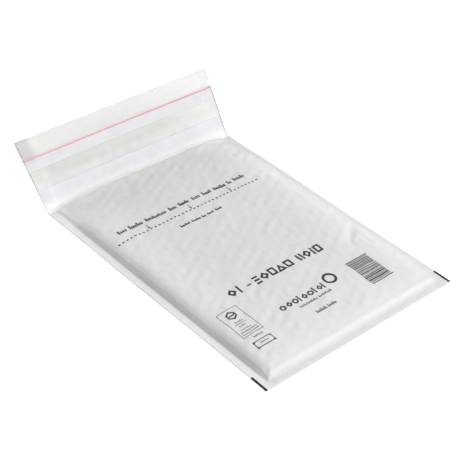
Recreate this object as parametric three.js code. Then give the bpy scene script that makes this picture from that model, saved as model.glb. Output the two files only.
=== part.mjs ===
import * as THREE from 'three';

// A padded envelope lying on its back with its flap open, in millimetres, +Z up.
// While it is built, X runs across it and Y from its bottom edge towards the flap.

// Body
const bodyWidth = 200;
const bodyLength = 270;
const paperThickness = 0.2;
const sideSealWidth = 8.5;
const bottomSealWidth = 8;
const pillowHeight = 10.6;
const sideShoulderWidth = 26;
const bottomShoulderLength = 40;
const shoulderFullness = 3;

// Mouth, where the front panel ends short of the fold and lies flatter
const mouthSetback = 3;
const mouthPullback = 3;
const mouthHeight = 8.2;
const mouthShoulderWidth = 56;
const mouthRunLength = 45;
const mouthFullness = 2.2;

// Flap, which stands a little steeper at its right side than at its left
const flapLength = 65;
const flapAngleLeft = THREE.MathUtils.degToRad(45.5);
const flapAngleRight = THREE.MathUtils.degToRad(57);
const foldReach = 2.4;

// Bubble lining
const liningClearance = 0.4;
const liningThickness = 2.2;
const liningEndThickness = 1.2;
const liningEndRun = 20;
const liningSetback = 8;
const bubblePitch = 11;
const flatFilmThickness = 0.5;

// Strips on the flap's inner face, placed from its free edge towards the fold
const stripClearance = 0.05;
const stripEndInset = 0.5;
const linerThickness = 0.1;
const adhesiveThickness = 0.1;
const tearTapeThickness = 0.1;
const freeEdgeWidth = 3;
const firstLinerWidth = 13;
const firstAdhesiveInset = 1.5;
const tearTapeGap = 0.8;
const tearTapeWidth = 2;
const betweenTapesWidth = 9.7;
const secondLinerWidth = 17;
const secondAdhesiveWidth = 10;
const secondAdhesiveInset = 0.5;

// How finely the curved surfaces are divided
const shoulderShares = [0, 0.03, 0.1, 0.22, 0.42, 0.7, 1];
const plateauColumns = 6;
const paperBodyRows = 3;
const liningBodyRows = 2;
const mouthRows = 4;
const foldRows = 4;
// Closer to the seal than this counts as on it
const onSeal = 1e-6;

// Places that follow from the sizes
const halfWidth = bodyWidth / 2;
const pocketHalfWidth = halfWidth - sideSealWidth;
const mouthLine = bodyLength - mouthSetback;
const mouthRunStart = mouthLine - mouthRunLength;
const liningDepth = paperThickness + liningClearance;
const liningEnd = mouthLine - liningSetback;
const firstLinerEnd = flapLength - freeEdgeWidth;
const firstLinerStart = firstLinerEnd - firstLinerWidth;
const firstAdhesiveStart = firstLinerStart + firstAdhesiveInset;
const firstAdhesiveEnd = firstLinerEnd - firstAdhesiveInset;
const tearTapeEnd = firstLinerStart - tearTapeGap;
const tearTapeStart = tearTapeEnd - tearTapeWidth;
const secondLinerEnd = tearTapeStart - betweenTapesWidth;
const secondLinerStart = secondLinerEnd - secondLinerWidth;
const secondAdhesiveEnd = secondLinerEnd - secondAdhesiveInset;
const secondAdhesiveStart = secondAdhesiveEnd - secondAdhesiveWidth;

const { clamp, lerp, smoothstep } = THREE.MathUtils;

// Collects the faces of one closed body, with corners that coincide shared.
class Shell {
  constructor() {
    this.positions = [];
    this.corners = new Map();
    this.indices = [];
  }

  corner(point) {
    const key = point.toArray().map((value) => Math.round(value * 1e5)).join(' ');
    if (!this.corners.has(key)) {
      this.corners.set(key, this.corners.size);
      this.positions.push(...point.toArray());
    }
    return this.corners.get(key);
  }

  triangle(a, b, c, flipped) {
    const [i, j, k] = [a, b, c].map((point) => this.corner(point));
    if (i === j || j === k || k === i) return;
    this.indices.push(i, ...(flipped ? [k, j] : [j, k]));
  }

  // Joins two rows of points that run the same way. The diagonal of a cell is the same
  // whichever way the face looks, so sheets laid on each other keep their distance.
  band(rowA, rowB, flipped = false) {
    for (let i = 0; i + 1 < rowA.length; i++) {
      this.triangle(rowA[i], rowA[i + 1], rowB[i + 1], flipped);
      this.triangle(rowA[i], rowB[i + 1], rowB[i], flipped);
    }
  }

  surface(rows, flipped = false) {
    for (let j = 0; j + 1 < rows.length; j++) this.band(rows[j], rows[j + 1], flipped);
  }

  mesh(name, material) {
    const geometry = new THREE.BufferGeometry();
    geometry.setAttribute('position', new THREE.Float32BufferAttribute(this.positions, 3));
    geometry.setIndex(this.indices);
    geometry.computeVertexNormals();
    const mesh = new THREE.Mesh(geometry, material);
    mesh.name = name;
    return mesh;
  }
}

const first = (row) => row[0];
const last = (row) => row[row.length - 1];

function spread(start, end, count) {
  return Array.from({ length: count + 1 }, (_, i) => lerp(start, end, i / count));
}

// The padded form: a front panel that rises from flat seals over a rounded shoulder

// Rises from 0 at the seal to 1 at the shoulder's end, steeply at first.
function shoulder(distance, width, fullness) {
  if (distance < onSeal) return 0;
  const left = 1 - clamp(distance / width, 0, 1);
  return Math.pow(1 - Math.pow(left, fullness), 1 / fullness);
}

function mouthShare(y) {
  return smoothstep(y, mouthRunStart, mouthLine);
}

function shoulderWidthAt(y) {
  return lerp(sideShoulderWidth, mouthShoulderWidth, mouthShare(y));
}

// Share of the full height at a place, on a surface at a depth inside the paper's outer face.
function shareOfHeight(x, y, depth) {
  const fromSide = pocketHalfWidth - depth - Math.abs(x);
  const fromBottom = y - bottomSealWidth - depth;
  const sideFullness = lerp(shoulderFullness, mouthFullness, mouthShare(y));
  return (
    shoulder(fromSide, shoulderWidthAt(y), sideFullness) *
    shoulder(fromBottom, bottomShoulderLength, shoulderFullness)
  );
}

function crestAt(y) {
  const towardsMouth = clamp((y - mouthRunStart) / mouthRunLength, 0, 1);
  return lerp(pillowHeight, mouthHeight, towardsMouth * towardsMouth);
}

// A point of the lifted front, which the padding also draws back from the fold.
function frontPoint(x, y, depth, base) {
  const share = shareOfHeight(x, y, depth);
  const drawnBack = mouthPullback * mouthShare(y) * share;
  return new THREE.Vector3(x, y - drawnBack, base + (crestAt(y) - depth - base) * share);
}

// Stations across the front panel, close together over each shoulder.
function acrossStations(y) {
  const shoulderEnd = pocketHalfWidth - shoulderWidthAt(y);
  const right = shoulderShares.map((share) => lerp(pocketHalfWidth, shoulderEnd, share));
  const plateau = spread(-shoulderEnd, shoulderEnd, plateauColumns).slice(1, -1);
  return [...right.map((x) => -x), ...plateau, ...right.reverse()];
}

// Stations from the bottom seal to the mouth, close together over the bottom shoulder.
function lengthStations(start, end, bodyRows) {
  const bottom = shoulderShares.map((share) => start + share * bottomShoulderLength);
  const body = spread(last(bottom), mouthRunStart, bodyRows).slice(1);
  return [...bottom, ...body, ...spread(mouthRunStart, end, mouthRows).slice(1)];
}

// The flap

// A point on the flap, by its distance past the crease and its height over the outer face.
// The paper bends in an arc that reaches equally far to both sides of the crease.
function flapPoint(x, past, height) {
  const angle = lerp(flapAngleLeft, flapAngleRight, (x + halfWidth) / bodyWidth);
  if (past >= foldReach) {
    const y = bodyLength + past * Math.cos(angle) - height * Math.sin(angle);
    return new THREE.Vector3(x, y, past * Math.sin(angle) + height * Math.cos(angle));
  }
  const radius = foldReach / Math.tan(angle / 2);
  const turned = angle * clamp((past + foldReach) / (2 * foldReach), 0, 1);
  const y = bodyLength + Math.min(past, -foldReach) + (radius - height) * Math.sin(turned);
  return new THREE.Vector3(x, y, radius - (radius - height) * Math.cos(turned));
}

// Rows of the flap, with one at each edge of a strip, so that paper and strips bend alike.
const flapRows = [
  ...new Set([
    ...spread(-foldReach, foldReach, foldRows),
    secondLinerStart,
    secondAdhesiveStart,
    secondAdhesiveEnd,
    secondLinerEnd,
    tearTapeStart,
    tearTapeEnd,
    firstLinerStart,
    firstAdhesiveStart,
    firstAdhesiveEnd,
    firstLinerEnd,
    flapLength,
  ]),
].sort((a, b) => a - b);
const flapColumns = [-halfWidth, ...acrossStations(mouthLine), halfWidth];

// The paper: back panel, bottom fold, front panel and flap in one sheet, with the front
// and back bonded along the sides and the bottom, and open at the mouth.
function paperEnvelope(material) {
  const shell = new Shell();
  const bonded = 2 * paperThickness;
  const stations = lengthStations(bottomSealWidth, mouthLine, paperBodyRows);

  const withSeals = (row, z) => {
    const edge = (x) => new THREE.Vector3(x, first(row).y, z);
    return [edge(-halfWidth), ...row, edge(halfWidth)];
  };
  const flatRow = (y, z) => acrossStations(y).map((x) => new THREE.Vector3(x, y, z));
  const bottomEdge = (z) => {
    const row = flatRow(bottomSealWidth, z).map((point) => point.setY(0));
    return withSeals(row, z);
  };
  const frontRow = (y) => acrossStations(y).map((x) => frontPoint(x, y, 0, bonded));
  // The inside of the front panel leans in with it where it is steep.
  const ceilingRow = (y) =>
    acrossStations(y).map((x) => {
      const lean = Math.sign(x) * paperThickness * (1 - shareOfHeight(x, y, 0));
      return frontPoint(x - lean, y, paperThickness, paperThickness);
    });

  const floor = stations.map((y) => flatRow(y, paperThickness));
  const ceiling = stations.map((y, j) => {
    const inner = j === 0 ? floor[j] : ceilingRow(y);
    return [first(floor[j]), ...inner.slice(1, -1), last(floor[j])];
  });
  const underside = [bottomEdge(0), ...stations.map((y) => withSeals(flatRow(y, 0), 0))];
  const bondPlane = [
    bottomEdge(paperThickness),
    ...floor.map((row) => withSeals(row, paperThickness)),
  ];
  const front = [
    bottomEdge(bonded),
    ...stations.map((y) => withSeals(frontRow(y), bonded)),
  ];
  const flapRow = (height) => (past) => flapColumns.map((x) => flapPoint(x, past, height));
  const flapOuter = [last(underside), ...flapRows.map(flapRow(0))];
  const flapInner = [last(bondPlane), ...flapRows.map(flapRow(paperThickness))];

  // Faces of the sheet
  shell.surface(underside, true);
  shell.surface(flapOuter, true);
  shell.surface(floor);
  shell.surface(flapInner);
  shell.surface(ceiling, true);
  shell.surface(front);

  // Its edges: the bottom, both sides and the free end of the flap
  shell.surface([underside, bondPlane, front].map(first));
  for (const [end, flipped] of [[first, true], [last, false]]) {
    shell.surface([underside, bondPlane, front].map((rows) => rows.map(end)), flipped);
    shell.band(flapOuter.map(end), flapInner.map(end), flipped);
  }
  shell.band(last(flapOuter), last(flapInner), true);

  // The end of the front panel, free over the pocket and bonded in the side seals
  const frontEnd = last(front);
  const bondEnd = last(bondPlane);
  shell.band(frontEnd.slice(1, -1), last(ceiling));
  shell.band(frontEnd.slice(0, 2), bondEnd.slice(0, 2));
  shell.band(frontEnd.slice(-2), bondEnd.slice(-2));
  return shell.mesh('paper_envelope', material);
}

// The bubble lining: one film bag with a domed outer face and a flat inner face. Its
// outer faces are a triangular net in which every third point is the top of a bubble.
function bubbleLining(material) {
  const shell = new Shell();
  const outerHalfWidth = pocketHalfWidth - liningDepth;
  const start = bottomSealWidth + liningDepth;
  const columnCount = 2 * Math.round((2 * outerHalfWidth) / bubblePitch);
  const stepCount = Math.round((liningEnd - start) / (bubblePitch / Math.sqrt(3)));
  const step = (liningEnd - start) / stepCount;
  const sideShares = spread(-1, 1, columnCount);

  const thicknessAt = (y) => {
    const cutShare = smoothstep(y, liningEnd - liningEndRun, liningEnd);
    return lerp(liningThickness, liningEndThickness, cutShare);
  };
  // Depth of the film between the bubbles, which dies out towards every edge.
  const valleyAt = (x, y) => {
    const toEdge = Math.min(outerHalfWidth - Math.abs(x), y - start, liningEnd - y);
    return (thicknessAt(y) - flatFilmThickness) * clamp(toEdge / bubblePitch, 0, 1);
  };

  // Odd columns of the net stand half a step higher than even ones.
  const net = sideShares.map((share, k) => {
    const odd = k % 2 === 1;
    const x = share * outerHalfWidth;
    const even = spread(start, liningEnd, stepCount);
    const raised = even.slice(0, -1).map((y) => y + step / 2);
    const heights = odd ? [start, ...raised, liningEnd] : even;
    return heights.map((y, j) => {
      const isBubbleTop = j % 3 === (odd ? 2 : 0);
      return { x, y, valley: isBubbleTop ? 0 : valleyAt(x, y) };
    });
  });
  const stitch = (even, odd, flipped) => {
    even.forEach((point, j) => {
      shell.triangle(point, odd[j], odd[j + 1], flipped);
      if (j + 1 < even.length) shell.triangle(point, odd[j + 1], even[j + 1], flipped);
    });
  };
  const netFace = (columns, flipped) => {
    for (let k = 0; k < columnCount; k += 2) {
      stitch(columns[k], columns[k + 1], flipped);
      stitch(columns[k + 2], columns[k + 1], !flipped);
    }
  };
  const frontNet = net.map((column) =>
    column.map(({ x, y, valley }) => frontPoint(x, y, liningDepth + valley, liningDepth)),
  );
  const backNet = net.map((column) =>
    column.map(({ x, y, valley }) => new THREE.Vector3(x, y, liningDepth + valley)),
  );

  // The flat film towards the pocket
  const pocketStations = lengthStations(start + liningThickness, liningEnd, liningBodyRows);
  const pocketFace = (pointAt) =>
    pocketStations.map((y) => {
      const depth = liningDepth + thicknessAt(y);
      const reach = pocketHalfWidth - depth;
      return sideShares.map((share) => pointAt(share * reach, y, depth));
    });
  const pocketCeiling = pocketFace((x, y, depth) => frontPoint(x, y, depth, depth));
  const pocketFloor = pocketFace((x, y, depth) => new THREE.Vector3(x, y, depth));

  netFace(frontNet, false);
  netFace(backNet, true);
  shell.surface(pocketCeiling, true);
  shell.surface(pocketFloor);
  shell.band(frontNet.map(last), last(pocketCeiling));
  shell.band(last(pocketFloor), backNet.map(last));
  return shell.mesh('bubble_lining', material);
}

// A strip laid across the flap between two distances past the crease.
function flapStrip(name, { start, end, height, thickness }, material) {
  const shell = new Shell();
  const rows = flapRows.filter((past) => past >= start && past <= end);
  const reach = halfWidth - stripEndInset;
  const columns = flapColumns.map((x) => clamp(x, -reach, reach));
  const face = (z) => rows.map((past) => columns.map((x) => flapPoint(x, past, z)));
  const [lower, upper] = [face(height), face(height + thickness)];
  shell.surface(lower, true);
  shell.surface(upper);
  shell.band(first(lower), first(upper));
  shell.band(last(lower), last(upper), true);
  shell.band(lower.map(first), upper.map(first), true);
  shell.band(lower.map(last), upper.map(last));
  return shell.mesh(name, material);
}

// Materials

function finish(color, roughness) {
  return new THREE.MeshStandardMaterial({ color, roughness, metalness: 0 });
}
const whitePaper = finish(0xf2f2f4, 0.75);
const clearFilm = finish(0xe4eaee, 0.35);
const creamLiner = finish(0xf4f2ec, 0.5);
const greyLiner = finish(0xe6e8e4, 0.45);
const paleGlue = finish(0xdfe2d2, 0.6);
const redTape = finish(0xe88a92, 0.5);

// Heights of the strips over the flap's outer face
const onPaper = paperThickness + stripClearance;
const onAdhesive = onPaper + adhesiveThickness + stripClearance;

const laidFromBottomEdge = new THREE.Group();
laidFromBottomEdge.add(
  paperEnvelope(whitePaper),
  bubbleLining(clearFilm),
  flapStrip(
    'first_adhesive_strip',
    {
      start: firstAdhesiveStart,
      end: firstAdhesiveEnd,
      height: onPaper,
      thickness: adhesiveThickness,
    },
    paleGlue,
  ),
  flapStrip(
    'first_release_liner',
    {
      start: firstLinerStart,
      end: firstLinerEnd,
      height: onAdhesive,
      thickness: linerThickness,
    },
    creamLiner,
  ),
  flapStrip(
    'tear_tape',
    {
      start: tearTapeStart,
      end: tearTapeEnd,
      height: onPaper,
      thickness: tearTapeThickness,
    },
    redTape,
  ),
  flapStrip(
    'second_adhesive_strip',
    {
      start: secondAdhesiveStart,
      end: secondAdhesiveEnd,
      height: onPaper,
      thickness: adhesiveThickness,
    },
    paleGlue,
  ),
  flapStrip(
    'second_release_liner',
    {
      start: secondLinerStart,
      end: secondLinerEnd,
      height: onAdhesive,
      thickness: linerThickness,
    },
    greyLiner,
  ),
);

// The origin lies under the middle of the whole piece, on the surface it rests on.
const bounds = new THREE.Box3().setFromObject(laidFromBottomEdge);
const middle = bounds.getCenter(new THREE.Vector3());
laidFromBottomEdge.position.set(-middle.x, -middle.y, -bounds.min.z);

const paddedEnvelope = new THREE.Group();
paddedEnvelope.add(laidFromBottomEdge);

export default paddedEnvelope;
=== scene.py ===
import math

import bpy
import numpy as np
from mathutils import Matrix, Vector


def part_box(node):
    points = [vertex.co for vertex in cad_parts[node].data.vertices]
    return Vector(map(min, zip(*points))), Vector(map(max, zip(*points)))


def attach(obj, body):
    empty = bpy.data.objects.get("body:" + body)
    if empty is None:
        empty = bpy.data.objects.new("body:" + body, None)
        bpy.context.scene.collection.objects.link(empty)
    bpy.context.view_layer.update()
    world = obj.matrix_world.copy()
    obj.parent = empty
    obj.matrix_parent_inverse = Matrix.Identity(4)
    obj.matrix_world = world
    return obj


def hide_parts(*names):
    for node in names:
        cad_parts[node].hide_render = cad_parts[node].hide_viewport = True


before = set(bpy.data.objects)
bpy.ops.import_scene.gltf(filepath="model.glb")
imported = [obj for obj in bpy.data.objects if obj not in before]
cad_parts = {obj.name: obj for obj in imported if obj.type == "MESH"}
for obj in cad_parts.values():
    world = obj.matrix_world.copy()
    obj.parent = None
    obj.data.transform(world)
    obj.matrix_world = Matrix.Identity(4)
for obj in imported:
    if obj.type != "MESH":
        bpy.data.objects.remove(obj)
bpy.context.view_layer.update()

# The part is measured here in millimetres from the middle of its bottom edge, as its source is.
MM = 0.001
paper_low, paper_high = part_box("paper_envelope")
BOTTOM_EDGE_Y = paper_low.y / MM
HALF_WIDTH = paper_high.x / MM
BODY_WIDTH = 2 * HALF_WIDTH

# Body
BODY_LENGTH = 270.0
PAPER = 0.14
LAYER_GAP = 0.03
BONDED = 2.0 * PAPER + LAYER_GAP
SIDE_SEAL = 8.5
BOTTOM_SEAL = 8.0
POCKET_HALF = HALF_WIDTH - SIDE_SEAL
PILLOW_HEIGHT = 10.4
SIDE_SHOULDER = 26.0
BOTTOM_SHOULDER = 40.0
FULLNESS = 3.0

# Mouth
MOUTH_SETBACK = 3.0
MOUTH_PULLBACK = 3.0
MOUTH_HEIGHT = 8.0
MOUTH_SHOULDER = 56.0
MOUTH_RUN = 45.0
MOUTH_FULLNESS = 2.2
MOUTH_LINE = BODY_LENGTH - MOUTH_SETBACK
MOUTH_RUN_START = MOUTH_LINE - MOUTH_RUN
SLOPE_START = 200.0
SLOPE_POWER = 1.35
# The front sinks a little before its end, so its last stretch stands up
DIP = 0.8
DIP_START = 224.0
DIP_MIDDLE = 254.0

# Flap, with the reach of each strip in millimetres past the fold
FLAP_LENGTH = 64.7
FLAP_ANGLE_LEFT = 45.5
FLAP_ANGLE_RIGHT = 57.0
FOLD_REACH = 2.4
SECOND_TAPE = (19.5, 36.5)
SECOND_GLUE = (26.0, 34.6)
TEAR_TAPE = (46.25, 47.7)
FIRST_TAPE = (49.0, 62.0)
FIRST_GLUE = (51.0, 60.0)

# Bubble film bag
LINING_DEPTH = 0.55
LINING_THICKNESS = 2.2
LINING_END_THICKNESS = 1.2
LINING_END_RUN = 20.0
LINING_SETBACK = 8.0
LINING_START = BOTTOM_SEAL + LINING_DEPTH
LINING_END = MOUTH_LINE - LINING_SETBACK
BUBBLE_PITCH = 11.1
BUBBLE_RADIUS = 4.7
FILM = 0.35
# Middle of one bubble
BUBBLE_START = (-0.95, 96.5)


def lerp(a, b, t):
    return a + (b - a) * t


def smooth(t):
    t = np.clip(t, 0.0, 1.0)
    return t * t * (3.0 - 2.0 * t)


def rises(value, start, over):
    """0 up to the start, and 1 once the value is `over` past it."""
    return smooth((value - start) / over)


def falls(value, end, over):
    """0 from the end on, and 1 until the value is `over` short of it."""
    return smooth((end - value) / over)


def bell(distance, width):
    return np.exp(-((distance / width) ** 2))


def to_frame(points):
    """Millimetres from the bottom edge to metres in the frame."""
    placed = np.asarray(points, float).reshape(-1, 3).copy()
    placed[:, 1] += BOTTOM_EDGE_Y
    return placed * MM


# Smooth repeatable unevenness

WAVE_LENGTHS = (0.7, 1.5)
WAVE_SCALE = 0.8


def waves(x, y, size, seed, count=7):
    """A sum of plane waves about `size` long in scattered directions, about -1 to 1."""
    rng = np.random.default_rng(seed)
    total = 0.0
    for _ in range(count):
        angle = rng.uniform(0.0, math.tau)
        length = size * rng.uniform(*WAVE_LENGTHS)
        phase = rng.uniform(0.0, math.tau)
        along = (x * math.cos(angle) + y * math.sin(angle)) / length
        total = total + np.sin(math.tau * along + phase)
    return total / math.sqrt(count) * WAVE_SCALE


def layered(x, y, layers):
    """A sum of layers of waves, each a height, a size, a seed and a count."""
    return sum(height * waves(x, y, *kind) for height, *kind in layers)


CREASE_TAPER = 0.35


def crease(x, y, start, end, width, height):
    """A soft ridge, or a valley where height is negative, along a straight stretch."""
    (x0, y0), (x1, y1) = start, end
    length = math.hypot(x1 - x0, y1 - y0)
    along = ((x - x0) * (x1 - x0) + (y - y0) * (y1 - y0)) / length
    aside = ((x - x0) * (y1 - y0) - (y - y0) * (x1 - x0)) / length
    taper = CREASE_TAPER * length
    return height * bell(aside, width) * rises(along, 0.0, taper) * falls(along, length, taper)


def creased(x, y, creases):
    """A sum of creases, each a start, an end, a width and a height."""
    return sum(crease(x, y, *each) for each in creases)


# The padded form

# How far the wall of the padding wanders: share, size, seed and count
WALL_WANDER = ((0.14, 20.0, 61, 5),)

# The seals' curl off the table: its mean and its swing at the edge, and its wave's length
SEAL_CURL = 0.35
SEAL_SWING = 0.3
SEAL_WAVE = 173.0
SEAL_LAG = 0.8
SEAL_CURL_POWER = 1.5
SEAL_CURL_SETBACK, SEAL_CURL_RUN = 12.0, 40.0

# Direction in degrees and height of each wave that shows through the paper, the second
# being the strongest
QUILT_WAVES = ((0.0, 0.055), (-60.0, 0.21), (60.0, 0.03))
QUILT_MEAN = 0.58
QUILT_CHANGE = ((0.62, 38.0, 3),)

# Unevenness of the front: height, size, seed and count of each layer
FRONT_LAYERS = ((0.30, 88.0, 11), (0.16, 34.0, 12, 9), (0.12, 8.0, 8, 13))
# One layer's waves are drawn out along the envelope
LONG_LAYER = ((0.24, 19.0, 5, 11),)
LONG_STRETCH = 0.7
# All of it comes in between these shares of the padding's height
CRUMPLE_START, CRUMPLE_RUN = 0.35, 0.5

# Creases of the front, three by the right side and three by the mouth
FRONT_CREASES = (
    ((83.0, 97.0), (57.0, 71.0), 2.6, -1.5),
    ((79.5, 95.0), (75.5, 62.0), 1.5, -0.7),
    ((86.0, 52.0), (70.0, 38.0), 2.0, -0.35),
    ((-24.0, 262.0), (-38.0, 236.0), 4.0, -0.5),
    ((-12.0, 268.0), (-20.0, 240.0), 5.0, 0.35),
    ((62.0, 262.0), (82.0, 240.0), 3.0, -0.6),
)
# The gathered folds at the bottom corners of the padding
CORNER_PINCHES = (
    ((-93.5, 5.0), (-84.0, 13.5), 1.0, 0.7),
    ((-95.0, 8.0), (-86.0, 16.0), 1.1, -0.4),
    ((-89.0, 3.0), (-84.0, 9.0), 0.9, -0.3),
    ((92.0, 6.0), (82.0, 18.0), 1.6, 0.4),
)


def shoulder(distance, width, fullness):
    """A rounded rise from 0 at no distance to 1 at the width."""
    left = 1.0 - np.clip(distance / width, 0.0, 1.0)
    return (1.0 - left**fullness) ** (1.0 / fullness)


def mouth_share(y):
    return rises(y, MOUTH_RUN_START, MOUTH_RUN)


def share_of_height(x, y, depth):
    """0 on the seals and 1 in the middle, at a depth under the paper's outer face."""
    towards_mouth = mouth_share(y)
    from_side = (POCKET_HALF - depth - np.abs(x)) * (1.0 + layered(0.0, y, WALL_WANDER))
    from_bottom = y - BOTTOM_SEAL - depth
    width = lerp(SIDE_SHOULDER, MOUTH_SHOULDER, towards_mouth)
    side = shoulder(from_side, width, lerp(FULLNESS, MOUTH_FULLNESS, towards_mouth))
    return side * shoulder(from_bottom, BOTTOM_SHOULDER, FULLNESS)


def crest(y):
    """The front's height along its middle."""
    t = np.clip((y - SLOPE_START) / (MOUTH_LINE - SLOPE_START), 0.0, 1.0)
    sinks = rises(y, DIP_START, DIP_MIDDLE - DIP_START)
    recovers = rises(y, DIP_MIDDLE, MOUTH_LINE - DIP_MIDDLE)
    return lerp(PILLOW_HEIGHT, MOUTH_HEIGHT, t**SLOPE_POWER) - DIP * sinks * (1.0 - recovers)


def seal_lift(x, y):
    """How far the thin seals curl off the table, most at their outer edge."""
    out = np.clip((np.abs(x) - POCKET_HALF) / SIDE_SEAL, 0.0, 1.0)
    wave = SEAL_CURL + SEAL_SWING * np.sin(math.tau * y / SEAL_WAVE + SEAL_LAG * np.sign(x))
    lasts = falls(y, BODY_LENGTH - SEAL_CURL_SETBACK, SEAL_CURL_RUN)
    return wave * out**SEAL_CURL_POWER * lasts


def quilting(x, y):
    """The bubbles' tops showing through the paper: three crossing waves, whose crests
    meet over each bubble of rows that run along the envelope."""
    turns_per_mm = 2.0 * math.tau / (math.sqrt(3.0) * BUBBLE_PITCH)
    from_x, from_y = x - BUBBLE_START[0], y - BUBBLE_START[1]
    total = 0.0
    for turn, height in QUILT_WAVES:
        angle = math.radians(turn)
        along = from_x * math.cos(angle) + from_y * math.sin(angle)
        total = total + height * np.cos(turns_per_mm * along)
    return total


def crumple(x, y):
    """Quilting, unevenness and creases of the front, in millimetres."""
    quilted = quilting(x, y) * (QUILT_MEAN + layered(x, y, QUILT_CHANGE))
    uneven = layered(x, y, FRONT_LAYERS) + layered(x, LONG_STRETCH * y, LONG_LAYER)
    return quilted + uneven + creased(x, y, FRONT_CREASES)


def front(x, y, depth=0.0, base=BONDED, under_paper=False):
    """Points of the lifted front at a depth under its outer face, in millimetres. The film
    under the paper follows the valleys of the corners' folds and not their ridges."""
    share = share_of_height(x, y, depth)
    height = crest(y) - depth - base
    z = base + height * share + crumple(x, y) * rises(share, CRUMPLE_START, CRUMPLE_RUN)
    pinched = creased(x, y, CORNER_PINCHES)
    if under_paper:
        pinched = np.minimum(pinched, 0.0)
    z = np.maximum(z + pinched, base) + seal_lift(x, y)
    drawn = MOUTH_PULLBACK * mouth_share(y) * share
    return np.stack(np.broadcast_arrays(x, y - drawn, z), axis=-1)


# The flap

FLAP_LAYERS = ((0.35, 95.0, 21), (0.12, 31.0, 22))
FLAP_WAVES_FULL = 30.0


def flap(x, past, height):
    """Points on the flap by their distance past the fold and height over its outer face."""
    x, past, height = np.broadcast_arrays(
        np.asarray(x, float), np.asarray(past, float), np.asarray(height, float)
    )
    angle = np.radians(lerp(FLAP_ANGLE_LEFT, FLAP_ANGLE_RIGHT, (x + HALF_WIDTH) / BODY_WIDTH))
    height = height + rises(past, 0.0, FLAP_WAVES_FULL) * layered(x, past, FLAP_LAYERS)
    straight_y = BODY_LENGTH + past * np.cos(angle) - height * np.sin(angle)
    straight_z = past * np.sin(angle) + height * np.cos(angle)
    radius = FOLD_REACH / np.tan(angle / 2.0)
    turned = angle * np.clip((past + FOLD_REACH) / (2.0 * FOLD_REACH), 0.0, 1.0)
    arc_start = BODY_LENGTH + np.minimum(past, -FOLD_REACH)
    arc_y = arc_start + (radius - height) * np.sin(turned)
    arc_z = radius - (radius - height) * np.cos(turned)
    beyond = past >= FOLD_REACH
    y = np.where(beyond, straight_y, arc_y)
    z = np.where(beyond, straight_z, arc_z)
    return np.stack([x, y, z], axis=-1)


# Shades: how much of its colour the paper keeps at a place. Most of them are painted light and
# painted shade; the mottles are the paper's own uneven tone

# Paper over the bubble film is painted a little greyer than over the seals, and less so towards
# the bottom edge: painted shade
OVER_FILM_SHADE = 0.055
# Painted highlights and painted shade in lines along the padding's walls and across its bottom:
# place, width and strength
WALL_HIGHLIGHTS_AND_SHADE = ((79.5, 5.0, 0.035), (-82.5, 4.0, 0.03), (-88.3, 1.3, -0.03))
BOTTOM_HIGHLIGHT_AND_SHADE = ((9.3, 1.0, 0.045), (11.8, 1.3, -0.035))
# Painted shade on the right and lower seals, and painted light on the left seal
RIGHT_SEAL_SHADE, LEFT_SEAL_LIGHT, LOWER_SEAL_SHADE = -0.05, 0.03, -0.015
# Painted light on the left wall near the mouth, and a painted shadow in the gathered left corner
LEFT_OF_MOUTH_LIGHT = 0.14
LEFT_CORNER_SHADOW = -0.1
# A painted highlight and painted shade along three creases by the right side
CREASE_HIGHLIGHT_AND_SHADE = (
    ((82.0, 98.0), (58.0, 80.0), 3.4, 0.05),
    ((84.0, 92.0), (70.0, 78.0), 1.6, -0.07),
    ((79.5, 96.0), (76.0, 62.0), 1.1, -0.05),
)
FRONT_MOTTLE = ((0.005, 17.0, 51, 9),)

# The flap is tinted a little lilac and painted darker than the front; the darkening is painted
# shade
FLAP_TINT_AND_SHADE = (0.896, 0.891, 0.920)
FLAP_BROAD_MOTTLE = ((0.010, 26.0, 52, 9),)
FLAP_FINE_MOTTLE = ((0.012, 10.0, 53, 11),)
OUTER_CORNER_SHADE = -0.155
SEAL_LINE_HIGHLIGHT, SEAL_LINE_X, SEAL_LINE_WIDTH = 0.035, 87.0, 1.3
RIGHT_EDGE_SHADE = -0.4
BETWEEN_TAPES = -0.03
# Painted light along the flap's free edge and by its fold
FREE_EDGE_LIGHT = 0.05
BY_FOLD_LIGHT = 0.035
FIRST_TAPE_MOTTLE = ((0.012, 17.0, 54, 9),)
SECOND_TAPE_MOTTLE = ((0.026, 13.0, 56, 9),)
GLUE_WANDER = ((1.2, 34.0, 55),)
GLUE_TINT = (-0.045, -0.039, -0.07)


def front_shade(x, y):
    # Painted light and painted shade on the front, over a mottle of the paper's own tone
    film_shade_mask = falls(np.abs(x), 78.0, 34.0) * rises(y, 8.0, 22.0)
    film_shade_mask = film_shade_mask * lerp(0.35, 1.0, rises(y, 18.0, 105.0))
    shade = 1.0 - OVER_FILM_SHADE * film_shade_mask + layered(x, y, FRONT_MOTTLE)
    body = rises(y, 10.0, 10.0) * falls(y, 262.0, 8.0)
    for middle, width, strength in WALL_HIGHLIGHTS_AND_SHADE:
        shade = shade + strength * body * bell(x - middle, width)
    inward = falls(np.abs(x), 88.0, 6.0)
    for middle, width, strength in BOTTOM_HIGHLIGHT_AND_SHADE:
        shade = shade + strength * inward * bell(y - middle, width)
    shade = shade + RIGHT_SEAL_SHADE * rises(x, 86.0, 2.0) + LEFT_SEAL_LIGHT * falls(x, -92.5, 2.0)
    shade = shade + LOWER_SEAL_SHADE * falls(y, 8.4, 1.4)
    shade = shade + LEFT_OF_MOUTH_LIGHT * rises(y, 222.0, 25.0) * bell(x + 90.0, 3.0)
    shade = shade + LEFT_CORNER_SHADOW * bell(x + 89.0, 3.0) * bell(y - 5.0, 2.5)
    shade = shade + creased(x, y, CREASE_HIGHLIGHT_AND_SHADE)
    return np.stack([shade, shade, shade], axis=-1)


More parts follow.
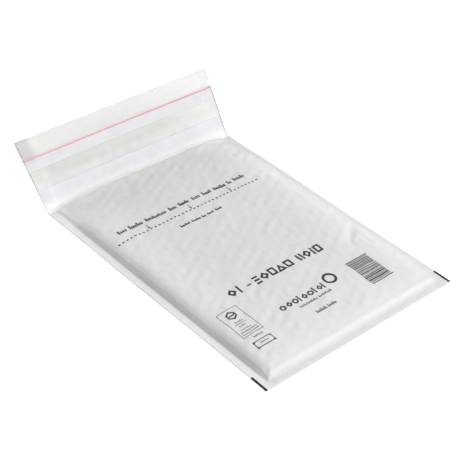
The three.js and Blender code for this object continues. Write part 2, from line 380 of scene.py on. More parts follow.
def corner_shade(x, past):
    """Painted shade on the outer left corner of the flap, which stands for the corner leaning
    away from the light.
    """
    return 1.0 + OUTER_CORNER_SHADE * falls(x, -84.0, 6.0) * rises(past, 42.0, 7.0)


def seal_line_highlights(x):
    """Painted highlights along the two lines that the side seals press into the flap."""
    return 1.0 + SEAL_LINE_HIGHLIGHT * bell(np.abs(x) - SEAL_LINE_X, SEAL_LINE_WIDTH)


def right_edge_shade(x, past):
    """Painted shade: the dark line along the right edge, from the fold to the tear tape."""
    return 1.0 + RIGHT_EDGE_SHADE * rises(x, 97.6, 1.8) * falls(past, 47.0, 4.0)


def flap_shade(x, past):
    x, past = np.broadcast_arrays(np.asarray(x, float), np.asarray(past, float))
    on_flap = rises(past, 3.0, 9.0)
    between_tapes = rises(past, 35.0, 3.0) * falls(past, 52.0, 3.0)
    fold_light_mask = falls(past, 9.0, 5.0) * rises(x, -50.0, 50.0) * falls(x, 85.0, 35.0)
    shade = corner_shade(x, past) * seal_line_highlights(x) * right_edge_shade(x, past)
    shade = shade * (1.0 + BETWEEN_TAPES * between_tapes) + BY_FOLD_LIGHT * fold_light_mask
    shade = shade + FREE_EDGE_LIGHT * rises(past, 61.2, 1.6) * rises(x, -92.0, 8.0)
    shade = shade * (1.0 + on_flap * layered(x, past, FLAP_BROAD_MOTTLE))
    shade = shade * (1.0 + on_flap * layered(x, past, FLAP_FINE_MOTTLE))
    paler = 0.5 * rises(past, 30.0, 10.0)
    tints = [lerp(tint, FLAP_TINT_AND_SHADE[0], paler) for tint in FLAP_TINT_AND_SHADE]
    return np.stack([shade * (1.0 + (tint - 1.0) * on_flap) for tint in tints], axis=-1)


def first_tape_shade(x, past):
    """This tape grows lighter to the right and outwards, and yellower to the left."""
    shade = corner_shade(x, past) * seal_line_highlights(x)
    shade = shade * (1.0 + 0.06 * rises(x, -10.0, 100.0) + 0.03 * rises(past, 49.0, 11.0))
    shade = shade * (1.0 + layered(x, past, FIRST_TAPE_MOTTLE))
    blue = 0.985 + 0.01 * rises(x, -90.0, 60.0)
    return np.stack([shade, shade, shade * blue], axis=-1)


def second_tape_shade(x, past):
    """The glue under the outer part of this tape shows through as a greenish grey."""
    wandering = past + layered(x, 0.0 * past, GLUE_WANDER)
    over_glue = rises(wandering, 24.0, 4.5) * (1.0 - 0.6 * rises(x, 20.0, 70.0))
    ends = 0.08 * rises(x, 25.0, 65.0) + 0.06 * falls(x, -80.0, 8.0)
    shade = seal_line_highlights(x) * (1.0 + ends) * right_edge_shade(x, past)
    shade = shade * (1.0 + layered(x, past, SECOND_TAPE_MOTTLE))
    shade = shade * (1.0 - 0.02 * over_glue * falls(x, -15.0, 35.0))
    return np.stack([shade * (1.0 + tint * over_glue) for tint in GLUE_TINT], axis=-1)


# Meshes

def hold_shade(piece, shade):
    """Give each point its shade; both faces of a sheet take the same ones."""
    held = piece.data.attributes.new("shade", "FLOAT_VECTOR", "POINT")
    both = np.tile(shade.reshape(-1, 3), (2, 1))
    held.data.foreach_set("vector", np.asarray(both, np.float32).ravel())


def make_mesh(name, points, faces, material):
    mesh = bpy.data.meshes.new(name)
    mesh.from_pydata(to_frame(points).tolist(), [], faces)
    mesh.validate()
    mesh.update()
    mesh.polygons.foreach_set("use_smooth", [True] * len(mesh.polygons))
    piece = bpy.data.objects.new(name, mesh)
    bpy.context.scene.collection.objects.link(piece)
    piece.data.materials.append(material)
    return piece


def grid_faces(rows, columns, start=0, flipped=False):
    index = start + np.arange(rows * columns).reshape(rows, columns)
    a, b = index[:-1, :-1], index[:-1, 1:]
    c, d = index[1:, 1:], index[1:, :-1]
    order = (a, d, c, b) if flipped else (a, b, c, d)
    return np.stack([corner.ravel() for corner in order], axis=-1).tolist()


def sheet_faces(rows, columns, start=0):
    """Faces of a closed sheet, whose lower points come first and whose rim comes last."""
    count = rows * columns
    index = start + np.arange(count).reshape(rows, columns)
    rim = np.concatenate([index[0, :-1], index[:-1, -1], index[-1, :0:-1], index[:0:-1, 0]])
    after = np.roll(rim, -1)
    lower = grid_faces(rows, columns, start, True)
    upper = grid_faces(rows, columns, start + count)
    return lower + upper + np.stack([rim, after, after + count, rim + count], axis=-1).tolist()


def slab(name, lower, upper, material):
    """A closed sheet between two grids of points, each rows x columns x 3."""
    rows, columns = lower.shape[:2]
    points = np.concatenate([lower.reshape(-1, 3), upper.reshape(-1, 3)])
    piece = make_mesh(name, points, sheet_faces(rows, columns), material)
    rim_length = 2 * (rows + columns) - 4
    for polygon in piece.data.polygons[-rim_length:]:
        polygon.use_smooth = False
    return piece


def stations(*stretches):
    """Stations along a line from (end, spacing) stretches, the first being (start, None)."""
    values = [stretches[0][0]]
    for end, spacing in stretches[1:]:
        count = max(1, round(abs(end - values[-1]) / spacing))
        values += list(np.linspace(values[-1], end, count + 1)[1:])
    return np.array(values)


# Materials, with the scales of their noise in waves per metre

CLOUD = 260.0
SOFT_GRAIN = 330.0
FINE_GRAIN = 1900.0
FILM_HAZE = 300.0
PLAIN_CLOUD = 500.0
PLAIN_DEPTH = 0.94


def nodes_of(name):
    material = bpy.data.materials.new(name)
    material.use_nodes = True
    tree = material.node_tree
    return material, tree, tree.nodes["Principled BSDF"]


def node(tree, kind, **settings):
    made = tree.nodes.new(kind)
    for key, value in settings.items():
        setattr(made, key, value)
    return made


def noise(tree, scale, detail, roughness=0.5):
    place = node(tree, "ShaderNodeTexCoord")
    made = node(tree, "ShaderNodeTexNoise")
    made.inputs["Scale"].default_value = scale
    made.inputs["Detail"].default_value = detail
    made.inputs["Roughness"].default_value = roughness
    tree.links.new(place.outputs["Object"], made.inputs["Vector"])
    return made.outputs["Fac"]


def two_tones(tree, source, dark, light):
    """Runs from the dark to the light tone over the middle of the noise's range."""
    made = node(tree, "ShaderNodeValToRGB")
    for element, position, colour in zip(made.color_ramp.elements, (0.3, 0.7), (dark, light)):
        element.position = position
        element.color = (*colour, 1.0)
    tree.links.new(source, made.inputs["Fac"])
    return made.outputs["Color"]


def bump(tree, source, shader, strength, distance, previous=None):
    made = node(tree, "ShaderNodeBump")
    made.inputs["Strength"].default_value = strength
    made.inputs["Distance"].default_value = distance
    tree.links.new(source, made.inputs["Height"])
    if previous:
        tree.links.new(previous.outputs["Normal"], made.inputs["Normal"])
    tree.links.new(made.outputs["Normal"], shader.inputs["Normal"])
    return made


def let_light_through(tree, shader, colour, share):
    """Mixes in light that comes through the thin sheet from its other side."""
    through = node(tree, "ShaderNodeBsdfTranslucent")
    tree.links.new(colour, through.inputs["Color"])
    mix = node(tree, "ShaderNodeMixShader")
    mix.inputs["Fac"].default_value = share
    tree.links.new(shader.outputs["BSDF"], mix.inputs[1])
    tree.links.new(through.outputs["BSDF"], mix.inputs[2])
    tree.links.new(mix.outputs["Shader"], tree.nodes["Material Output"].inputs["Surface"])


def shaded(tree, colour):
    """Multiplies a colour by the shade that the mesh holds."""
    held = node(tree, "ShaderNodeAttribute", attribute_name="shade")
    mix = node(tree, "ShaderNodeMix", data_type="RGBA", blend_type="MULTIPLY")
    mix.inputs["Factor"].default_value = 1.0
    colours = [socket for socket in mix.inputs if socket.type == "RGBA"]
    tree.links.new(colour, colours[0])
    tree.links.new(held.outputs["Color"], colours[1])
    return [socket for socket in mix.outputs if socket.type == "RGBA"][0]


def paper_material(name, dark, light, roughness, fibre, through):
    """Bleached paper: cloudy formation, fine fibres and a little satin sheen."""
    material, tree, shader = nodes_of(name)
    colour = shaded(tree, two_tones(tree, noise(tree, CLOUD, 6.0, 0.62), dark, light))
    tree.links.new(colour, shader.inputs["Base Color"])
    fine = noise(tree, FINE_GRAIN, 4.0, 0.6)
    soft = noise(tree, SOFT_GRAIN, 3.0)
    first = bump(tree, soft, shader, 1.25 * fibre, 0.3 * MM)
    bump(tree, fine, shader, fibre, 0.06 * MM, first)
    shader.inputs["Roughness"].default_value = roughness
    shader.inputs["Specular IOR Level"].default_value = 0.35
    let_light_through(tree, shader, colour, through)
    return material


def plain_material(name, colour, roughness):
    material, tree, shader = nodes_of(name)
    dark = tuple(PLAIN_DEPTH * channel for channel in colour)
    tone = two_tones(tree, noise(tree, PLAIN_CLOUD, 4.0), dark, colour)
    tree.links.new(tone, shader.inputs["Base Color"])
    shader.inputs["Roughness"].default_value = roughness
    shader.inputs["Specular IOR Level"].default_value = 0.4
    return material


def film_material():
    material, tree, shader = nodes_of("bubble_film")
    haze = noise(tree, FILM_HAZE, 4.0)
    tone = two_tones(tree, haze, (0.80, 0.84, 0.87), (0.88, 0.9, 0.92))
    tree.links.new(tone, shader.inputs["Base Color"])
    shader.inputs["Roughness"].default_value = 0.25
    shader.inputs["Transmission Weight"].default_value = 0.35
    shader.inputs["IOR"].default_value = 1.5
    return material


white_paper = paper_material(
    "white_paper", (0.92, 0.92, 0.918), (0.957, 0.957, 0.955), 0.55, fibre=0.35, through=0.33
)
cream_liner = paper_material(
    "cream_liner", (0.892, 0.892, 0.881), (0.922, 0.922, 0.913), 0.42, fibre=0.2, through=0.24
)
grey_liner = paper_material(
    "grey_liner", (0.846, 0.848, 0.842), (0.886, 0.886, 0.882), 0.42, fibre=0.2, through=0.22
)
red_tape = plain_material("red_tape", (0.79, 0.38, 0.385), 0.35)
pale_glue = plain_material("pale_glue", (0.74, 0.76, 0.66), 0.4)
black_ink = plain_material("black_ink", (0.018, 0.018, 0.019), 0.5)
soft_black_ink = plain_material("soft_black_ink", (0.045, 0.040, 0.036), 0.5)
bubble_film = film_material()


# The paper: one web, from the free edge of the flap down the back, round the bottom fold
# and up the front to the mouth

# The flat faces start this far from the bottom edge, and the fold between them reaches it
BOTTOM_TURN = 0.8
HALF_COLUMNS = stations((0.0, None), (66.0, 1.45), (82.0, 1.1), (91.5, 0.7), (100.0, 1.6))
COLUMNS = np.concatenate([-HALF_COLUMNS[:0:-1], HALF_COLUMNS]) * (HALF_WIDTH / 100.0)
FLAP_ROWS = stations((FLAP_LENGTH, None), (4.0, 1.7), (-FOLD_REACH, 0.7))
BACK_ROWS = stations((MOUTH_LINE - 0.5, None), (10.0, 12.0), (BOTTOM_TURN, 3.0))
FRONT_ROWS = stations(
    (BOTTOM_TURN, None), (7.6, 1.7), (16.0, 0.65), (34.0, 1.2), (255.0, 1.5), (MOUTH_LINE, 1.1)
)
BOTTOM_TURNS = np.radians([45.0, 90.0, 135.0])


def across(y, z):
    """One row of points across the web."""
    return np.stack(np.broadcast_arrays(COLUMNS, y, z), axis=-1)


def paper_web():
    """Outer and inner faces of the web and its shades, each rows x columns x 3."""
    outer, inner, shade = [], [], []
    for past in FLAP_ROWS:
        outer.append(flap(COLUMNS, past, 0.0))
        inner.append(flap(COLUMNS, past, PAPER))
        shade.append(flap_shade(COLUMNS, past))
    shade += [np.ones((len(COLUMNS), 3))] * (len(BACK_ROWS) + len(BOTTOM_TURNS))
    for y in BACK_ROWS:
        lift = seal_lift(COLUMNS, y)
        outer.append(across(y, lift))
        inner.append(across(y, lift + PAPER))
    middle = BONDED / 2.0
    inside = BOTTOM_TURN * (1.0 - PAPER / middle)
    lift = seal_lift(COLUMNS, BOTTOM_TURN / 2.0) + middle
    for turn in BOTTOM_TURNS:
        out, up = math.sin(turn), math.cos(turn)
        outer.append(across(BOTTOM_TURN * (1.0 - out), lift - middle * up))
        inner.append(across(BOTTOM_TURN - inside * out, lift - (middle - PAPER) * up))
    for y in FRONT_ROWS:
        row = np.full_like(COLUMNS, y)
        top = front(COLUMNS, row)
        share = share_of_height(COLUMNS, row, 0.0)
        below = top.copy()
        below[:, 2] -= PAPER
        # On the steep wall the paper's thickness lies more across than down
        below[:, 0] -= np.sign(COLUMNS) * PAPER * 2.0 * (1.0 - share) * (share > 0.0)
        outer.append(top)
        inner.append(below)
        shade.append(front_shade(COLUMNS, row))
    return np.array(outer), np.array(inner), np.array(shade)


outer_face, inner_face, paper_shade = paper_web()
envelope = slab("padded_envelope_paper", inner_face, outer_face, white_paper)
hold_shade(envelope, paper_shade)
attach(envelope, "root")
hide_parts("paper_envelope")


# Strips on the flap

STRIP_INSET = 0.5
STRIP_COLUMNS = np.linspace(-HALF_WIDTH + STRIP_INSET, HALF_WIDTH - STRIP_INSET, 120)
STRIP_GAP = 0.01
GLUE = 0.03
LINER = 0.06
TEAR_FILM = 0.08
ON_PAPER = PAPER + STRIP_GAP
ON_GLUE = ON_PAPER + GLUE + STRIP_GAP
# A strip thins to this, and lies on the paper, at its pressed down long edges
PRESSED = 0.015
PRESSED_RUN = 1.5
# The edges of the tapes are painted a little lighter: painted light that evens out the thin
# shadow along them
EDGE_LIGHT = 0.03


def strip(name, cad_node, reach, height, thickness, material, shade=None):
    start, end = reach
    edge = min(PRESSED_RUN, 0.3 * (end - start))
    rows = stations((start, None), (start + edge, edge / 2), (end - edge, 1.5), (end, edge / 2))
    x, past = np.meshgrid(STRIP_COLUMNS, rows)
    full = smooth(np.minimum(past - start, end - past) / edge)
    lower_height = lerp(ON_PAPER, height, full)
    lower = flap(x, past, lower_height)
    upper = flap(x, past, lower_height + lerp(PRESSED, thickness, full))
    piece = slab(name, lower, upper, material)
    if shade:
        hold_shade(piece, shade(x, past) * (1.0 + EDGE_LIGHT * (1.0 - full[..., None])))
    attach(piece, "root")
    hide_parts(cad_node)


strip("first_glue_line", "first_adhesive_strip", FIRST_GLUE, ON_PAPER, GLUE, pale_glue)
strip(
    "first_cover_tape", "first_release_liner", FIRST_TAPE, ON_GLUE, LINER, cream_liner,
    first_tape_shade,
)
strip("red_tear_tape", "tear_tape", TEAR_TAPE, ON_PAPER, TEAR_FILM, red_tape)
strip(
    "second_glue_line", "second_adhesive_strip", SECOND_GLUE, ON_PAPER, GLUE, pale_glue,
)
strip(
    "second_cover_tape", "second_release_liner", SECOND_TAPE, ON_GLUE, LINER, grey_liner,
    second_tape_shade,
)


# Bubble film bag

LINING_COLUMNS, LINING_ROWS = 141, 196
WELD = 0.002


def lining_thickness(y):
    towards_end = rises(y, LINING_END - LINING_END_RUN, LINING_END_RUN)
    return lerp(LINING_THICKNESS, LINING_END_THICKNESS, towards_end)


def from_bubble(x, y):
    """Distance to the middle of the nearest bubble, in a net of two shifted grids."""
    column_step = BUBBLE_PITCH * math.sqrt(3.0)
    best = np.full(x.shape, np.inf)
    for shift in (0.0, 0.5):
        row = np.round((y - BUBBLE_START[1]) / BUBBLE_PITCH - shift) + shift
        column = np.round((x - BUBBLE_START[0]) / column_step - shift) + shift
        from_x = x - BUBBLE_START[0] - column * column_step
        from_y = y - BUBBLE_START[1] - row * BUBBLE_PITCH
        best = np.minimum(best, np.hypot(from_x, from_y))
    return best


def lining():
    """The bag's domed outer faces, front and back, and its flat inner faces."""
    depth = LINING_DEPTH
    half = POCKET_HALF - depth
    columns = np.linspace(-half, half, LINING_COLUMNS)
    x, y = np.meshgrid(columns, np.linspace(LINING_START, LINING_END, LINING_ROWS))
    dome = np.sqrt(np.clip(1.0 - (from_bubble(x, y) / BUBBLE_RADIUS) ** 2, 0.0, 1.0))
    to_edge = np.minimum(np.minimum(half - np.abs(x), y - LINING_START), LINING_END - y)
    deep = (lining_thickness(y) - FILM) * np.clip(to_edge / BUBBLE_PITCH, 0.0, 1.0)
    valley = deep * (1.0 - dome)
    top = front(x, y, depth, depth, True)
    top[..., 2] -= valley
    bottom = np.stack([x, y, depth + valley], axis=-1)
    inner_start = LINING_START + LINING_THICKNESS
    ceiling, floor = [], []
    for row in stations((inner_start, None), (40.0, 3.0), (240.0, 12.0), (LINING_END, 3.0)):
        inner = depth + lining_thickness(row)
        px = columns * ((POCKET_HALF - inner) / half)
        py = np.full_like(px, row)
        ceiling.append(front(px, py, inner, inner, True))
        floor.append(np.stack([px, py, np.full_like(px, inner)], axis=-1))
    return top, bottom, np.array(ceiling), np.array(floor)


def split_first_corners(faces, columns):
    """Cut the two corner faces of a grid's first row from their corner inwards, so that
    two grids that are fused along their rims share no face there."""
    a, b, c, d = faces[0]
    left = [[a, b, c], [a, c, d]]
    a, b, c, d = faces[columns - 2]
    right = [[a, b, d], [b, c, d]]
    return left + faces[1 : columns - 2] + right + faces[columns - 1 :]


def lining_piece():
    """One closed mesh: outer and inner faces fused along the rims, joined at the mouth."""
    grids = lining()
    points = np.concatenate([grid.reshape(-1, 3) for grid in grids])
    faces, ends, start = [], [], 0
    for grid, flipped in zip(grids, (False, True, True, False)):
        rows, columns = grid.shape[:2]
        faces += split_first_corners(grid_faces(rows, columns, start, flipped), columns)
        start += rows * columns
        ends.append(np.arange(start - columns, start))
    top_end, bottom_end, ceiling_end, floor_end = ends
    for above, below in ((top_end, ceiling_end), (floor_end, bottom_end)):
        faces += np.stack([above[:-1], above[1:], below[1:], below[:-1]], axis=-1).tolist()
    piece = make_mesh("bubble_film_bag", points, faces, bubble_film)
    weld = piece.modifiers.new("weld", "WELD")
    weld.merge_threshold = WELD * MM
    return piece


film_bag = lining_piece()
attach(film_bag, "root")
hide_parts("bubble_lining")


# Print: thin ink laid over the front. All its shapes are plain ones

INK = 0.02
INK_LIFT = 0.04
INK_STEP = 1.6
STROKE_HEIGHTS = (1.0, 0.6, 0.66, 0.6, 1.0, 0.62, 0.66)


class Ink:
    """Collects patches of ink, each draped over the front and closed."""

    def __init__(self):
        self.points, self.faces, self.count = [], [], 0

    def patch(self, flat):
        """A patch from a grid of places, counterclockwise seen from above."""
        top = front(flat[..., 0], flat[..., 1])
        top[..., 2] += INK_LIFT + INK
        under = top.copy()
        under[..., 2] -= INK
        rows, columns = top.shape[:2]
        self.points += [under.reshape(-1, 3), top.reshape(-1, 3)]
        self.faces += sheet_faces(rows, columns, self.count)
        self.count += 2 * rows * columns

    def quad(self, a, b, c, d):
        """A filled shape with corners a, b, c, d, counterclockwise seen from above."""
        a, b, c, d = (np.array(p, float) for p in (a, b, c, d))
        across_it = max(np.linalg.norm(b - a), np.linalg.norm(c - d))
        along_it = max(np.linalg.norm(d - a), np.linalg.norm(c - b))
        u = np.linspace(0, 1, max(1, math.ceil(across_it / INK_STEP)) + 1)[None, :, None]
        v = np.linspace(0, 1, max(1, math.ceil(along_it / INK_STEP)) + 1)[:, None, None]
        self.patch((a * (1 - u) + b * u) * (1 - v) + (d * (1 - u) + c * u) * v)

    def bar(self, x0, y0, x1, y1):
        self.quad((x0, y0), (x1, y0), (x1, y1), (x0, y1))

    def outline(self, corners, width):
        """A closed line of even width inside counterclockwise corners."""
        corners = [np.array(corner, float) for corner in corners]
        inner = []
        for before, at, after in zip(corners[-1:] + corners, corners, corners[1:] + corners[:1]):
            to_here = (at - before) / np.linalg.norm(at - before)
            onward = (after - at) / np.linalg.norm(after - at)
            aside = np.array([-to_here[1] - onward[1], to_here[0] + onward[0]])
            reach = width / (np.linalg.norm(aside) ** 2 / 2.0)
            inner.append(at + aside * reach)
        for k, corner in enumerate(corners):
            ahead = (k + 1) % len(corners)
            self.quad(corner, corners[ahead], inner[ahead], inner[k])

    def box(self, x0, y0, x1, y1, width):
        self.outline([(x0, y0), (x1, y0), (x1, y1), (x0, y1)], width)

    def polygon(self, middle, radius, width, sides, turn=0.0):
        """The outline of a regular polygon; with many sides it is a ring."""
        angles = [turn + math.tau * k / sides for k in range(sides)]
        corners = [
            (middle[0] + radius * math.cos(angle), middle[1] + radius * math.sin(angle))
            for angle in angles
        ]
        self.outline(corners, width)

    def strokes(self, x0, x1, y, height, width, pitch):
        """A run of upright strokes of uneven height."""
        count = max(1, round((x1 - x0 - width) / pitch))
        step = (x1 - x0 - width) / count
        for k in range(count + 1):
            x = x0 + k * step
            tall = STROKE_HEIGHTS[k % len(STROKE_HEIGHTS)]
            self.bar(x, y, x + width, y + height * tall)

    def piece(self, name, material):
        made = make_mesh(name, np.concatenate(self.points), self.faces, material)
        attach(made, "root")


# Places on the front, in millimetres from the middle of the bottom edge

TEAR_LINE_Y = 190.2
TEAR_LINE_START, TEAR_LINE_END = -86.3, 67.3
DASH, DASH_PITCH, DASH_WIDTH = 1.9, 4.1, 1.25
ARROW_TIPS = (-53.2, -9.2, 34.2)
ARROW_LOW, ARROW_HIGH = 0.6, 7.0
ARROW_SHAFT, ARROW_HEAD, ARROW_BARB = 0.3, 2.6, 1.1

NOTE_Y, NOTE_HEIGHT, NOTE_TRIM = 199.6, 4.4, 0.5
NOTE_STROKE, NOTE_PITCH = 1.5, 1.9
NOTE_RUNS = (
    (-78.5, -69.6), (-67.6, -53.2), (-50.6, -28.6), (-25.8, -17.6), (-15.4, -4.2),
    (-1.2, 7.8), (10.2, 20.3), (22.9, 36.4), (38.4, 43.0), (45.0, 57.6),
)
SMALL_NOTE_Y, SMALL_NOTE_HEIGHT, SMALL_NOTE_TRIM = 176.4, 2.6, 0.3
SMALL_NOTE_STROKE, SMALL_NOTE_PITCH = 1.1, 1.3
SMALL_NOTE_RUNS = (
    (-32.8, -22.3), (-20.9, -11.2), (-9.9, -5.4), (-4.0, 2.9), (4.6, 11.6),
)

HEADING_Y, HEADING_HEIGHT, HEADING_STROKE = 84.3, 8.6, 1.8
HEADING_DASH_LOW, HEADING_DASH_HIGH = 87.4, 88.9
# Each shape with its left end and its width
HEADING_SHAPES = (
    ("diamond", -59.2, 8.2), ("bar", -49.0, HEADING_STROKE), ("dash", -40.2, 4.2),
    ("shelves", -32.0, 5.4), ("diamond", -25.6, 8.2), ("square", -16.6, 6.8),
    ("triangle", -9.2, 9.0), ("square", 0.6, 7.0), ("bar", 14.3, HEADING_STROKE),
    ("bar", 17.7, HEADING_STROKE), ("diamond", 20.3, 8.2), ("bar", 29.8, HEADING_STROKE),
    ("square", 33.2, 6.4),
)

EMBLEM_START = (-39.4, 51.6)
EMBLEM_REACH, EMBLEM_STROKE, EMBLEM_BAR_RISE = 3.0, 1.4, 1.4
# Each shape with the way to the next
EMBLEM_SHAPES = (
    ("hexagon", 6.6), ("diamond", 6.2), ("hexagon", 6.6), ("bar", 3.2), ("diamond", 6.2),
    ("hexagon", 6.6), ("bar", 3.2), ("diamond", 6.2), ("bar", 3.0),
)
RING_MIDDLE, RING_RADIUS, RING_STROKE, RING_SIDES = (16.6, 55.2), 6.2, 2.2, 24

# Runs of strokes: left and right end, foot, height, stroke and pitch
LESSER_LINES = (
    (-25.4, -7.6, 43.2, 2.5, 0.62, 1.05),
    (-5.6, 7.4, 43.2, 2.5, 0.62, 1.05),
    (-19.2, -9.0, 31.3, 3.2, 0.8, 1.2),
    (-7.2, 1.0, 31.3, 3.2, 0.8, 1.2),
)
LABEL_LINES = (
    (-76.4, -69.2, 60.4, 2.0, 0.55, 1.1),
    (-76.6, -70.8, 55.2, 1.6, 0.45, 0.9),
    (-78.0, -68.6, 51.6, 1.5, 0.4, 0.9),
    (-80.2, -74.0, 46.6, 1.7, 0.45, 0.95),
    (-72.8, -64.8, 46.6, 1.7, 0.45, 0.95),
    (-76.2, -72.4, 40.0, 2.0, 0.45, 0.95),
    (-71.4, -67.4, 40.0, 2.0, 0.45, 0.95),
)
# Boxes of the label: two corners and the line's width
LABEL_BOXES = ((-82.2, 44.6, -62.7, 76.4, 0.42), (-81.0, 29.6, -63.8, 36.6, 0.75))
LABEL_BARS = (
    (-75.6, 68.6, -70.4, 69.8),
    (-78.2, 58.4, -68.4, 58.9),
    (-80.4, 49.4, -65.2, 50.0),
    (-76.4, 32.8, -68.4, 33.5),
)
LABEL_HEXAGON, LABEL_HEXAGON_RADIUS, LABEL_HEXAGON_STROKE = (-73.0, 69.3), 4.7, 1.3
LABEL_STUDS_X, LABEL_STUDS_Y, LABEL_STUD = (-81.2, -65.2), (29.4, 35.2), 1.6

STRIPES_LEFT, STRIPES_RIGHT = 38.9, 61.0
STRIPES_LOW, STRIPES_HIGH = 29.4, 61.4
STRIPES_SEED = 17
STRIPE_HEIGHTS, STRIPE_GAPS = (0.45, 0.45, 0.9, 1.35), (0.45, 0.5, 0.9)
# Stripes that start this near to the low or the high end reach further to the right
NEAR_LOW_END, NEAR_HIGH_END, STRIPE_TONGUE = 0.8, 2.2, 1.6
# No stripe starts nearer than this to the high end
STRIPES_TOP_GAP = 0.9

EYE_MARK_START, EYE_MARK_END, EYE_MARK_WIDTH, EYE_MARK_INSET = 0.9, 17.5, 2.2, 0.08


def tear_line(ink):
    """The dashed line across the front, and three small arrows that point to it."""
    x = TEAR_LINE_START
    while x + DASH <= TEAR_LINE_END:
        ink.bar(x, TEAR_LINE_Y - DASH_WIDTH / 2, x + DASH, TEAR_LINE_Y + DASH_WIDTH / 2)
        x += DASH_PITCH
    low, high = TEAR_LINE_Y + ARROW_LOW, TEAR_LINE_Y + ARROW_HIGH
    neck = low + ARROW_HEAD
    for tip in ARROW_TIPS:
        ink.bar(tip - ARROW_SHAFT, neck, tip + ARROW_SHAFT, high)
        ink.quad((tip, low), (tip + ARROW_BARB, neck), (tip, neck), (tip - ARROW_BARB, neck))


def notes(ink):
    for x0, x1 in NOTE_RUNS:
        x0, x1 = x0 + NOTE_TRIM, x1 - NOTE_TRIM
        ink.strokes(x0, x1, NOTE_Y, NOTE_HEIGHT, NOTE_STROKE, NOTE_PITCH)
    for x0, x1 in SMALL_NOTE_RUNS:
        x0, x1 = x0 + SMALL_NOTE_TRIM, x1 - SMALL_NOTE_TRIM
        ink.strokes(x0, x1, SMALL_NOTE_Y, SMALL_NOTE_HEIGHT, SMALL_NOTE_STROKE, SMALL_NOTE_PITCH)


def heading(ink):
    """A row of bold plain shapes."""
    low, high, width = HEADING_Y, HEADING_Y + HEADING_HEIGHT, HEADING_STROKE
    level = (low + high) / 2
    for shape, x, size in HEADING_SHAPES:
        middle, right = x + size / 2, x + size
        if shape == "bar":
            ink.bar(x, low, right, high)
        elif shape == "dash":
            ink.bar(x, HEADING_DASH_LOW, right, HEADING_DASH_HIGH)
        elif shape == "square":
            ink.box(x, low, right, high, width)
        elif shape == "diamond":
            ink.outline([(x, level), (middle, low), (right, level), (middle, high)], width)
        elif shape == "triangle":
            ink.outline([(x, low), (right, low), (middle, high)], width)
        else:
            for y in np.linspace(low, high - width, 3):
                ink.bar(x, y, right, y + width)


def emblem(ink):
    """A row of plain shapes and a ring."""
    x, middle = EMBLEM_START
    reach, width = EMBLEM_REACH, EMBLEM_STROKE
    for shape, pitch in EMBLEM_SHAPES:
        if shape == "hexagon":
            ink.polygon((x + reach, middle), reach, width, 6, math.pi / 6)
        elif shape == "diamond":
            ink.polygon((x + reach, middle), reach, width, 4)
        else:
            ink.bar(x, middle - reach, x + width, middle + EMBLEM_BAR_RISE * reach)
        x += pitch
    ink.polygon(RING_MIDDLE, RING_RADIUS, RING_STROKE, RING_SIDES)


def lesser_lines(ink):
    for run in LESSER_LINES:
        ink.strokes(*run)


def stripes(ink):
    """Unequal bars that code nothing."""
    rng = np.random.default_rng(STRIPES_SEED)
    y = STRIPES_LOW
    while y < STRIPES_HIGH - STRIPES_TOP_GAP:
        thick = rng.choice(STRIPE_HEIGHTS)
        at_an_end = y < STRIPES_LOW + NEAR_LOW_END or y > STRIPES_HIGH - NEAR_HIGH_END
        reach = STRIPE_TONGUE if at_an_end else 0.0
        ink.bar(STRIPES_LEFT, y, STRIPES_RIGHT + reach, y + thick)
        y += thick + rng.choice(STRIPE_GAPS)


def label(ink):
    """An outlined field with a hexagon, bars and strokes, and a small box under it."""
    for box in LABEL_BOXES:
        ink.box(*box)
    ink.polygon(LABEL_HEXAGON, LABEL_HEXAGON_RADIUS, LABEL_HEXAGON_STROKE, 6, math.pi / 6)
    for bar in LABEL_BARS:
        ink.bar(*bar)
    for run in LABEL_LINES:
        ink.strokes(*run)
    for x in LABEL_STUDS_X:
        for y in LABEL_STUDS_Y:
            ink.bar(x, y, x + LABEL_STUD, y + LABEL_STUD)


def eye_marks(ink):
    """Black marks at both edges, by which a machine finds the bottom."""
    outer = HALF_WIDTH - EYE_MARK_INSET
    for side in (-1, 1):
        x0, x1 = sorted((side * outer, side * (outer - EYE_MARK_WIDTH)))
        ink.bar(x0, EYE_MARK_START, x1, EYE_MARK_END)


def printing():
    strong, soft = Ink(), Ink()
    tear_line(strong)
    notes(strong)
    heading(strong)
    eye_marks(strong)
    strong.piece("black_print", black_ink)
    emblem(soft)
    lesser_lines(soft)
    stripes(soft)
    label(soft)
    soft.piece("soft_black_print", soft_black_ink)


printing()


# Camera, as the photograph was taken

CAMERA_AZIMUTH = -43.359
CAMERA_ELEVATION = 36.867
CAMERA_ROLL = 3.425
CAMERA_DISTANCE = 1049.30
CAMERA_TARGET = (6.15, 161.18, 0.0)
CAMERA_REACH = (0.05, 20.0)
FOCAL_PX = 1267.23
PHOTO_PX = 458
SENSOR = 36.0


def make_camera():
    azimuth, elevation = math.radians(CAMERA_AZIMUTH), math.radians(CAMERA_ELEVATION)
    roll = math.radians(CAMERA_ROLL)
    out = math.cos(elevation)
    back = Vector((math.sin(azimuth) * out, -math.cos(azimuth) * out, math.sin(elevation)))
    level = Vector((math.cos(azimuth), math.sin(azimuth), 0.0))
    up = back.cross(level)
    right = level * math.cos(roll) + up * math.sin(roll)
    top = up * math.cos(roll) - level * math.sin(roll)
    data = bpy.data.cameras.new("camera")
    data.sensor_width = SENSOR
    data.lens = FOCAL_PX / PHOTO_PX * SENSOR
    data.clip_start, data.clip_end = CAMERA_REACH
    camera = bpy.data.objects.new("camera", data)
    bpy.context.scene.collection.objects.link(camera)
    target = Vector(to_frame([CAMERA_TARGET])[0])
    place = target + back * (CAMERA_DISTANCE * MM)
    turn = Matrix((right, top, back)).transposed().to_4x4()
    camera.matrix_world = Matrix.Translation(place) @ turn
    bpy.context.scene.camera = camera


make_camera()


# Floor, light and background, in metres

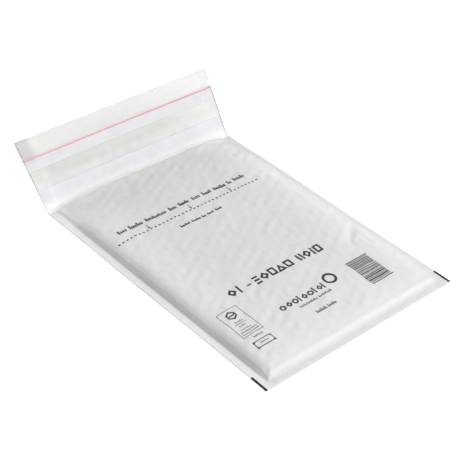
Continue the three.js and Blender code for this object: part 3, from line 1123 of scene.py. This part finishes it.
FLOOR_REACH = 6.0
FLOOR_DROP = 0.0002
FLOOR_COLOUR = (0.86, 0.86, 0.86, 1.0)
FLOOR_GLOW = 1.2
WORLD_LIGHT = 0.0
LAMP_DISTANCE = 2.4
LAMP_SIZE = 1.2
# Each lamp's direction from the part, and its power in watts
LAMPS = (
    ("front", (0.15, -0.92, 0.36), 26.0),
    ("above", (0.35, -0.45, 1.0), 40.5),
    ("right", (0.8, 0.45, 0.4), 15.0),
    ("left", (-0.9, 0.2, 0.45), 8.0),
    ("behind", (-0.3, 0.9, 0.5), 21.0),
)


def floor_glow(tree):
    """White to the eye and in reflections, and no light on the part."""
    path = node(tree, "ShaderNodeLightPath")
    seen = path.outputs["Is Camera Ray"]
    for ray in ("Is Glossy Ray", "Is Transmission Ray"):
        either = node(tree, "ShaderNodeMath", operation="MAXIMUM")
        tree.links.new(seen, either.inputs[0])
        tree.links.new(path.outputs[ray], either.inputs[1])
        seen = either.outputs[0]
    strength = node(tree, "ShaderNodeMath", operation="MULTIPLY")
    strength.inputs[1].default_value = FLOOR_GLOW
    tree.links.new(seen, strength.inputs[0])
    glow = node(tree, "ShaderNodeEmission")
    tree.links.new(strength.outputs[0], glow.inputs["Strength"])
    return glow.outputs["Emission"]


def make_floor():
    corners = [(-1, -1), (1, -1), (1, 1), (-1, 1)]
    mesh = bpy.data.meshes.new("floor")
    points = [(x * FLOOR_REACH, y * FLOOR_REACH, -FLOOR_DROP) for x, y in corners]
    mesh.from_pydata(points, [], [(0, 1, 2, 3)])
    floor = bpy.data.objects.new("floor", mesh)
    bpy.context.scene.collection.objects.link(floor)
    material, tree, shader = nodes_of("floor")
    shader.inputs["Base Color"].default_value = FLOOR_COLOUR
    shader.inputs["Roughness"].default_value = 0.9
    shader.inputs["Specular IOR Level"].default_value = 0.0
    add = node(tree, "ShaderNodeAddShader")
    tree.links.new(shader.outputs["BSDF"], add.inputs[0])
    tree.links.new(floor_glow(tree), add.inputs[1])
    tree.links.new(add.outputs["Shader"], tree.nodes["Material Output"].inputs["Surface"])
    mesh.materials.append(material)


def make_world():
    """White behind the part, and no light from the sky."""
    world = bpy.data.worlds.new("studio")
    bpy.context.scene.world = world
    world.use_nodes = True
    tree = world.node_tree
    background = tree.nodes["Background"]
    path = node(tree, "ShaderNodeLightPath")
    level = node(tree, "ShaderNodeMapRange")
    tree.links.new(path.outputs["Is Camera Ray"], level.inputs["Value"])
    level.inputs["To Min"].default_value = WORLD_LIGHT
    level.inputs["To Max"].default_value = 1.0
    tree.links.new(level.outputs["Result"], background.inputs["Strength"])
    background.inputs["Color"].default_value = (1.0, 1.0, 1.0, 1.0)


def lamp(name, direction, power):
    data = bpy.data.lights.new(name, "AREA")
    data.shape = "SQUARE"
    data.size = LAMP_SIZE
    data.energy = power
    made = bpy.data.objects.new(name, data)
    bpy.context.scene.collection.objects.link(made)
    towards = Vector(direction).normalized()
    made.location = towards * LAMP_DISTANCE
    made.rotation_mode = "QUATERNION"
    made.rotation_quaternion = towards.to_track_quat("Z", "Y")


make_floor()
make_world()
for each in LAMPS:
    lamp(*each)

bpy.context.scene.view_settings.view_transform = "Standard"
